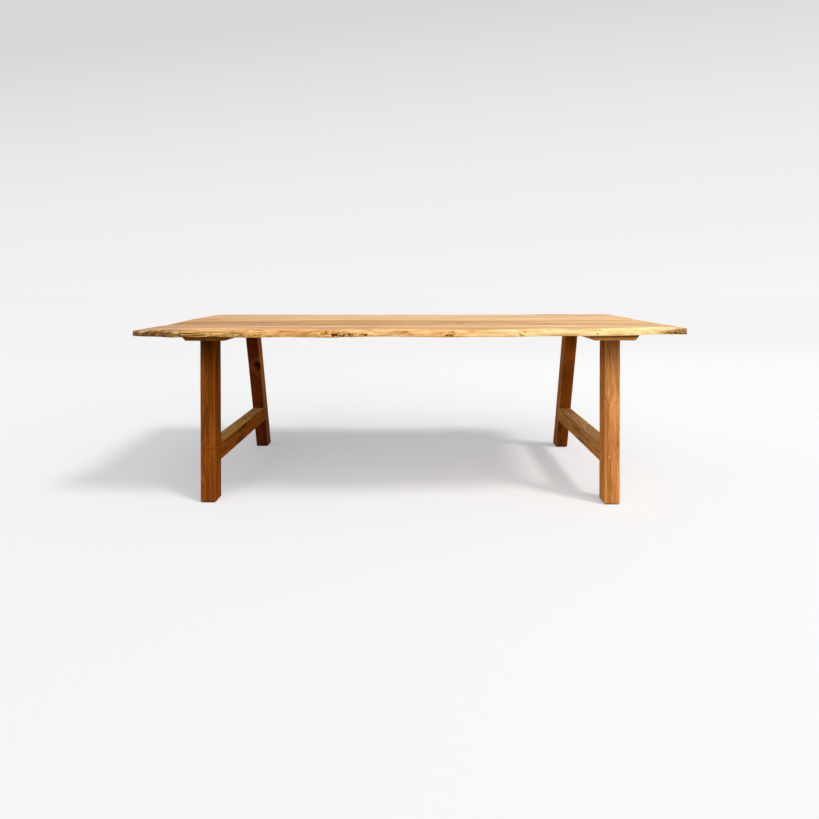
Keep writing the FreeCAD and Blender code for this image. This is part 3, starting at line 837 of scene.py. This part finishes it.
# Bands along each board: place across it, half width, points along it between which they grow, and shade
FRONT_BANDS = (
    (-0.436, 0.03, -0.9, -0.3, 0.25), (-0.36, 0.09, -0.7, 0.5, -0.2),
    (-0.29, 0.045, 0.5, 0.1, -0.3), (-0.395, 0.035, 0.3, 0.5, -0.25),
    (-0.33, 0.06, -0.9, -0.7, -0.13), (-0.33, 0.06, -0.4, -0.2, 0.13),
    (-0.34, 0.07, 0.95, 1.1, 0.15),
)
INNER_FRONT_BANDS = (
    (-0.075, 0.04, -0.6, -1.0, 0.45), (-0.17, 0.08, -0.65, -0.95, -0.4),
    (-0.17, 0.08, -0.66, -0.5, 0.18), (-0.17, 0.08, -0.33, -0.18, -0.18),
    (-0.16, 0.11, 0.65, 0.95, -0.3), (-0.19, 0.025, 0.4, 0.55, 0.5),
)
INNER_BACK_BANDS = ((0.04, 0.09, -0.2, -0.9, -0.5), (0.09, 0.04, 0.4, 0.7, -0.2))
BACK_BANDS = (
    (0.15, 0.05, 0.4, -0.5, 0.5), (0.22, 0.045, 0.4, -0.1, 0.22),
    (0.31, 0.04, -0.1, 0.2, -0.3), (0.42, 0.06, -0.1, -0.6, 0.15),
)

front_wood = board_wood(
    "front_board_wood", linear(221, 173, 124), linear(159, 111, 73), 1, contrast=0.5, paler=0.2,
    bands=FRONT_BANDS, knots=((0.36, -0.33, TOP_Z, 9 * MM), (-0.62, -0.40, TOP_Z, 7 * MM)),
)
inner_front_wood = board_wood(
    "inner_front_board_wood", linear(210, 159, 101), linear(132, 85, 41), 2, warp=16 * MM, paler=0.4,
    heart=(0, -0.17, TOP_Z - 0.12), bands=INNER_FRONT_BANDS,
    knots=((0.24, -0.17, TOP_Z, 16 * MM), (-0.52, -0.21, TOP_Z, 9 * MM)),
)
inner_back_wood = board_wood(
    "inner_back_board_wood", linear(230, 182, 121), linear(168, 116, 62), 3, warp=14 * MM, paler=0.3,
    spacing=6 * MM, contrast=0.5, heart=(0, 0.05, TOP_Z - 0.15), bands=INNER_BACK_BANDS,
    knots=((-0.15, 0.05, TOP_Z, 7 * MM),),
)
back_wood = board_wood(
    "back_board_wood", linear(235, 189, 135), linear(176, 125, 76), 4, contrast=0.5, paler=0.06,
    spacing=6 * MM, bands=BACK_BANDS, sapwood=(BACK_SAPWOOD, BACK_SAPWOOD),
    knots=((0.52, 0.30, TOP_Z, 12 * MM), (-0.80, 0.28, TOP_Z, 8 * MM)),
)

# How worn a natural edge is, from place to place along the table
FRONT_WORN_PLACES = (
    (-1.175, 1.05), (-1.0, 0.95), (-0.93, 0.75), (-0.85, 0.5), (-0.6, 0.42), (-0.45, 0.22), (-0.33, 0.25),
    (-0.26, 0.45), (-0.22, 0.3), (-0.15, 0.1), (1.03, 0.1), (1.1, 0.4), (1.175, 0.9),
)
BACK_WORN_PLACES = (
    (-1.175, 0.6), (-0.7, 0.2), (0.2, 0.2), (0.4, 0.8), (0.8, 0.7), (0.9, 0.2), (1.175, 0.4),
)

# Knots and holes in a natural edge: place along it, height in millimetres, radius in millimetres, strength
FRONT_EDGE_KNOTS = (
    (-0.64, 7, 12, 0.35), (-0.617, 9, 10, 0.55), (-0.6, 5, 9, 0.45), (-0.345, 17, 9, 0.5),
    (-0.33, 19, 7, 0.75), (-0.294, 11, 11, 1.0), (-0.275, 16, 7, 0.5), (-0.262, 4, 8, 1.0),
    (-0.238, 9, 6, 0.85), (-0.226, 6, 5, 0.8), (-0.185, 9, 12, 0.5), (-0.172, 8, 7, 0.75),
    (0.158, 6, 6, 0.75), (0.165, 16, 5, 0.5), (0.17, 11, 13, 0.45), (0.176, 5, 6, 0.8),
    (0.18, 21, 8, 0.5), (0.186, 13, 5, 0.6), (0.452, 10, 3, 0.8), (0.458, 7, 3, 0.85),
    (0.465, 4, 3, 0.85), (0.471, 1.5, 3, 0.8), (0.772, 8, 4, 0.5), (0.785, 22, 3, 0.5),
    (1.09, 7, 5, 0.6), (1.12, 9, 6, 0.8), (1.15, 15, 5, 0.7), (1.16, 6, 4, 0.9),
)
BACK_EDGE_KNOTS = ((-0.62, 12, 6, 0.8), (0.48, 9, 8, 0.9))

outer_board("top_board_front", FRONT_EDGE_SHARES, FRONT_SEAM_Y,
            FRONT_BOARD_SEAM_END_SHARES, wear=True, worn_places=FRONT_WORN_PLACES, knots=FRONT_EDGE_KNOTS,
            seed=1, material=front_wood)
inner_board("top_board_inner_front", FRONT_SEAM_Y, MIDDLE_SEAM_Y,
            INNER_FRONT_END_SHARES, seed=2, material=inner_front_wood)
inner_board("top_board_inner_back", MIDDLE_SEAM_Y, BACK_SEAM_Y,
            INNER_BACK_END_SHARES, seed=3, material=inner_back_wood)
outer_board("top_board_back", BACK_EDGE_SHARES, BACK_SEAM_Y,
            BACK_BOARD_SEAM_END_SHARES, wear=False, worn_places=BACK_WORN_PLACES, knots=BACK_EDGE_KNOTS,
            seed=4, material=back_wood)


# Trestles

LEG_SEED = 10
STRETCHER_SEED = 20
BATTEN_SEED = 30

# Height where the painted shade under a batten starts, painted contact shadow at the sole as (start, end,
# share), and height of the hearts
UNDER_BATTEN_Z = SHOULDER_Z - 160 * MM
SOLE_PAINTED_SHADE = (12 * MM, 0.0, 0.35)
LEG_HEART_Z = 0.4

# Legs: tones as light and dark, and wood that darkens from one height to another by a share, for the front
# and back faces and for the flanks. On the front and back faces, bands that darken up towards the shoulder
# are painted shade under the top, and bands that darken downwards make the wood darker lower down. The
# flanks' tones and bands are painted lighter or darker than the front by the light that falls on them. Heart
# of the tree, right of the leg's middle and behind its front face.
# Knots as (place, height, radius) and cracks as (both ends, half width) on the front face.
LEGS = {
    "leg_front_left": dict(
        tones=(linear(160, 88, 28), linear(100, 50, 12)),
        flank_tones=(linear(160, 88, 24), linear(100, 50, 10)),
        painted_shade_and_darkening=((UNDER_BATTEN_Z, SHOULDER_Z, 0.5), (220 * MM, 60 * MM, 0.1)),
        flank_darkened=((600 * MM, 200 * MM, 0.25),),
        heart=(-30 * MM, 60 * MM), contrast=1.0,
    ),
    "leg_back_left": dict(
        tones=(linear(115, 50, 12), linear(62, 23, 4)),
        flank_tones=(linear(215, 138, 76), linear(144, 88, 43)),
        painted_shade_and_darkening=((300 * MM, 220 * MM, 0.15),),
        flank_darkened=((520 * MM, 100 * MM, 0.62),),
        heart=(10 * MM, 70 * MM), contrast=0.9,
        knots=((29 * MM, 499 * MM, 16 * MM),), halo_look=(linear(177, 105, 38), 0.3),
        cracks=(((28 * MM, 506 * MM), (-6 * MM, 540 * MM), 13 * MM),
                ((20 * MM, 502 * MM), (-20 * MM, 516 * MM), 9 * MM)),
    ),
    "leg_front_right": dict(
        tones=(linear(243, 166, 96), linear(150, 86, 37)),
        flank_tones=(linear(254, 168, 86), linear(176, 107, 45)),
        painted_shade_and_darkening=((UNDER_BATTEN_Z, SHOULDER_Z, 0.6), (440 * MM, 530 * MM, 0.15)),
        flank_darkened=((UNDER_BATTEN_Z, SHOULDER_Z, 0.5), (380 * MM, 520 * MM, 0.25)),
        heart=(26 * MM, 50 * MM), contrast=0.55,
        knots=((32 * MM, 337 * MM, 3 * MM),),
        cracks=(((-34 * MM, 472 * MM), (-20 * MM, 442 * MM), 2.4 * MM),
                ((-22 * MM, 446 * MM), (-12 * MM, 413 * MM), 1.8 * MM)),
    ),
    "leg_back_right": dict(
        tones=(linear(172, 92, 28), linear(108, 52, 12)),
        flank_tones=(linear(223, 146, 87), linear(158, 100, 55)),
        painted_shade_and_darkening=((570 * MM, 440 * MM, 0.35), (560 * MM, 640 * MM, 0.17), (200 * MM, 100 * MM, 0.12)),
        flank_darkened=((200 * MM, 60 * MM, 0.3),),
        heart=(-24 * MM, 60 * MM), contrast=0.9,
    ),
}

# Stretchers: light and dark tone, tone of the bare upper face and the share of painted shade at its far end.
# Cracks as (both ends, half width), the ends measured from the stretcher's middle and from the floor.
STRETCHERS = {
    "stretcher_left": dict(
        tones=(linear(166, 96, 30), linear(88, 44, 11)), scuffed=(linear(231, 181, 106), 0.35),
        cracks=(((-4 * MM, 101 * MM, STRETCHER_HIGH.z), (20 * MM, 64 * MM, STRETCHER_HIGH.z), 10 * MM),
                ((20 * MM, 121 * MM, STRETCHER_HIGH.z), (32 * MM, 181 * MM, STRETCHER_HIGH.z), 8 * MM),
                ((LEG_SIZE / 2, -42 * MM, 239 * MM), (LEG_SIZE / 2, 82 * MM, 236 * MM), 8 * MM)),
    ),
    "stretcher_right": dict(
        tones=(linear(236, 166, 92), linear(150, 98, 48)), scuffed=(linear(189, 143, 95), 0.65),
    ),
}

# Battens: light and dark tone, and the painted shade under the top that darkens them up their bevels
BATTEN_TONES = {
    "batten_left": (linear(172, 109, 41), linear(121, 71, 21)),
    "batten_right": (linear(247, 177, 100), linear(201, 125, 59)),
}
BATTEN_PAINTED_SHADE = (SHOULDER_Z + 9 * MM, SHOULDER_Z + 16 * MM, 0.75)


def trestle_x(node):
    """Middle of the trestle that a node belongs to."""
    return TRESTLE_X if node.endswith("right") else -TRESTLE_X


def leg_front(x, side, across, z):
    """Point on a leg's front face."""
    return (x + across, side * leg_centre(z) - LEG_HALF_DEPTH, z)


def leg_wood(node, x, side, seed, tones, flank_tones, painted_shade_and_darkening, flank_darkened, heart, contrast,
             knots=(), halo_look=None, cracks=()):
    """Wood of one leg, with its heart and marks placed from the leg's front face."""
    heart_x, face_y, heart_z = leg_front(x, side, heart[0], LEG_HEART_Z)
    placed_knots = [(*leg_front(x, side, across, z), radius) for across, z, radius in knots]
    placed_cracks = []
    for start, end, half_width in cracks:
        placed_cracks.append((leg_front(x, side, *start), leg_front(x, side, *end), half_width))
    # Front faces and flanks both take the painted contact shadow at the sole
    return wood(node + "_wood", *tones, seed, ALONG_FRONT_LEG if side < 0 else ALONG_BACK_LEG,
                heart=(heart_x, face_y + heart[1], heart_z), spacing=6 * MM, warp=34 * MM,
                contrast=contrast, knots=placed_knots, halo_look=halo_look, cracks=placed_cracks,
                shine=0.0, flank=(*flank_tones, (*flank_darkened, SOLE_PAINTED_SHADE)),
                painted_shade_and_darkening=(*painted_shade_and_darkening, SOLE_PAINTED_SHADE))


def stretcher_wood(node, x, seed, tones, scuffed, cracks=()):
    """Wood of one stretcher, with its cracks placed from the stretcher's middle."""
    placed_cracks = []
    for (start_x, *start), (end_x, *end), half_width in cracks:
        placed_cracks.append(((x + start_x, *start), (x + end_x, *end), half_width))
    return wood(node + "_wood", *tones, seed, ALONG_Y, heart=(x + 80 * MM, 0, 0.14), warp=9 * MM,
                cracks=placed_cracks, shine=0.0, paler=1.0, coarse=0.8, scuffed=scuffed)


def batten_wood(node, x, seed):
    """Wood of one batten, with painted shade under the top."""
    return wood(node + "_wood", *BATTEN_TONES[node], seed, ALONG_Y, heart=(x, 0, 0.60), warp=12 * MM,
                shine=0.0, end_shade=0.0, painted_shade_and_darkening=(BATTEN_PAINTED_SHADE,))


def cover(node, material):
    """Give a CAD node its material."""
    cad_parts[node].data.materials.clear()
    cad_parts[node].data.materials.append(material)


for seed, (node, look) in enumerate(LEGS.items(), LEG_SEED):
    x = trestle_x(node)
    side = -1 if "front" in node else 1
    leg(node, x, side, seed, leg_wood(node, x, side, seed, **look))
for seed, (node, look) in enumerate(STRETCHERS.items(), STRETCHER_SEED):
    x = trestle_x(node)
    stretcher(node, x, seed, stretcher_wood(node, x, seed, **look))
for seed, node in enumerate(BATTEN_TONES, BATTEN_SEED):
    cover(node, batten_wood(node, trestle_x(node), seed))

# Small parts
dowel_wood = wood("dowel_wood", linear(226, 188, 140), linear(170, 126, 84), 40, ALONG_Y,
                  heart=(0, 0, 0.70), spacing=2 * MM)
pale_pin_wood = wood("pale_pin_wood", linear(240, 186, 126), linear(214, 154, 96), 41, ALONG_Y,
                     heart=(0, 0, 0.1), spacing=2 * MM, end_shade=0.0)
dark_pin_wood = wood("dark_pin_wood", linear(160, 88, 26), linear(112, 56, 12), 42, ALONG_Y,
                     heart=(0, 0, 0.1), spacing=2 * MM)
zinc = steel("zinc_steel", linear(205, 205, 200))
for seam in ("front", "middle", "back"):
    cover(f"seam_dowels_{seam}", dowel_wood)
for end, pin_wood in (("left", dark_pin_wood), ("right", pale_pin_wood)):
    cover(f"stretcher_pins_{end}", pin_wood)
    cover(f"leg_wedges_{end}", dowel_wood)
    cover(f"batten_screws_{end}", zinc)
    cover(f"batten_washers_{end}", zinc)


# Floor, light and camera

# Floor: radius, and tones at the left and the right, near the table and far behind it, with painted light
# that is brighter to the right and dimmer far behind
FLOOR_RADIUS = 60.0
NEAR_FLOOR = (linear(241.5, 241.5, 241), linear(249, 249, 248.5))
FAR_FLOOR = (linear(241, 241, 241), linear(246, 246, 246))

# Cast of the light that falls on the floor, cast and share of its own glow, which cools the shadow, and the
# tone with which it throws light up
LIT_CAST = (1.02, 1.0, 0.975, 1.0)
OWN_CAST = (0.93, 1.0, 1.09, 1.0)
OWN_SHARE = 0.30
THROWN_TONE = linear(160, 160, 160)

# Strength of the even light, and greys of the backdrop from 0 to 255, from the horizon up
EVEN_LIGHT = 0.27
BACKDROP_TONES = (
    (0.0, 247), (0.1, 243), (0.187, 240.5), (0.303, 238), (0.416, 232), (0.524, 224), (0.621, 215),
)

# Lamps: name, strength, direction from which the light comes, and spread in degrees
LAMPS = (
    ("key", 1.45, (0.74, -0.30, 1.0), 12.0),
    ("fill", 1.80, (0.22, -0.78, 0.58), 90.0),
    ("left_fill", 0.5, (-1.0, -0.05, 0.2), 60.0),
    ("right_fill", 0.5, (1.0, -0.05, 0.2), 60.0),
)


def seen_directly(n):
    """1 for rays from the camera, also by way of a mirror or glass, and 0 for light that spreads."""
    rays = n.add("LightPath").outputs
    seen = n.math("MAXIMUM", rays["Is Camera Ray"], rays["Is Glossy Ray"])
    return n.math("MAXIMUM", seen, rays["Is Transmission Ray"])


def build_floor():
    """Pale floor with painted light, brighter to the right and darker far behind, that throws less light up
    than it shows.
    """
    builder = bmesh.new()
    bmesh.ops.create_circle(builder, cap_ends=True, radius=FLOOR_RADIUS, segments=96)
    material = bpy.data.materials.new("pale_floor")
    material.use_nodes = True
    n = Nodes(material.node_tree)
    place = n.add("TexCoord").outputs["Object"]
    rightward = n.dot(place, (1, 0, 0))
    far = n.step(1.0, 6.0, n.dot(place, (0, 1, 0)))
    near_tone = n.mix(n.step(-2.5, 2.5, rightward), *NEAR_FLOOR)
    far_tone = n.mix(n.step(-30.0, 30.0, rightward), *FAR_FLOOR)
    lit = n.add("BsdfDiffuse")
    n.feed(lit.inputs["Color"], n.mix(1.0, near_tone, LIT_CAST, "MULTIPLY"))
    own = n.add("Emission")
    n.feed(own.inputs["Color"], n.mix(far, n.mix(1.0, near_tone, OWN_CAST, "MULTIPLY"), far_tone))
    thrown = n.add("BsdfDiffuse")
    n.feed(thrown.inputs["Color"], THROWN_TONE)
    shown = n.blend(n.math("MAXIMUM", far, OWN_SHARE), lit, own)
    n.finish("OutputMaterial", n.blend(seen_directly(n), thrown, shown))
    floor = show_mesh("floor", builder, material)
    floor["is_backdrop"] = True


def build_world():
    """Even light from all round, and a pale backdrop with painted light that darkens upwards and to the
    left.
    """
    world = bpy.data.worlds.new("studio")
    bpy.context.scene.world = world
    world.use_nodes = True
    n = Nodes(world.node_tree)
    split = n.add("SeparateXYZ")
    n.feed(split.inputs[0], n.add("TexCoord").outputs["Generated"])
    ahead = n.math("MAXIMUM", n.math("ABSOLUTE", split.outputs["Y"]), 0.3)
    rise = n.fit(split.outputs["X"], -0.085, split.outputs["Z"])
    height = n.math("ADD", n.math("DIVIDE", rise, ahead), 0.1)
    stops = [(at, linear(tone, tone, tone)) for at, tone in BACKDROP_TONES]
    backdrop = n.add("Background")
    n.feed(backdrop.inputs["Color"], n.ramp(height, stops))
    light = n.add("Background")
    n.fill_named(light, {"Color": (1.0, 1.0, 1.0, 1.0), "Strength": EVEN_LIGHT})
    n.finish("OutputWorld", n.blend(seen_directly(n), light, backdrop))


def build_lamp(name, strength, direction, spread):
    """Broad distant lamp that shines from the given direction."""
    lamp = bpy.data.lights.new(name, "SUN")
    lamp.energy = strength
    lamp.angle = math.radians(spread)
    shown = show(name, lamp)
    shown.rotation_euler = Vector(direction).to_track_quat("Z", "Y").to_euler()


def build_camera():
    """Camera of the photo, with its optical axis above the picture's middle row."""
    data = bpy.data.cameras.new("camera")
    data.sensor_fit = "HORIZONTAL"
    data.lens = data.sensor_width * FOCAL_PIXELS / PICTURE_SIZE
    data.shift_y = (AXIS_ROW - PICTURE_SIZE / 2) / PICTURE_SIZE
    camera = show("camera", data)
    turn = Matrix.Rotation(-CAMERA_TURN, 4, "Z")
    tilt = Matrix.Rotation(math.radians(90) - CAMERA_TILT, 4, "X")
    roll = Matrix.Rotation(CAMERA_ROLL, 4, "Z")
    camera.matrix_world = Matrix.Translation(CAMERA_PLACE) @ turn @ tilt @ roll
    bpy.context.scene.camera = camera


build_floor()
build_world()
for lamp in LAMPS:
    build_lamp(*lamp)
build_camera()
bpy.context.scene.view_settings.view_transform = "Standard"

boxes = {"cad": CAD_BOX, "visual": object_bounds()}
{name: [list(corner) for corner in box] for name, box in boxes.items()}
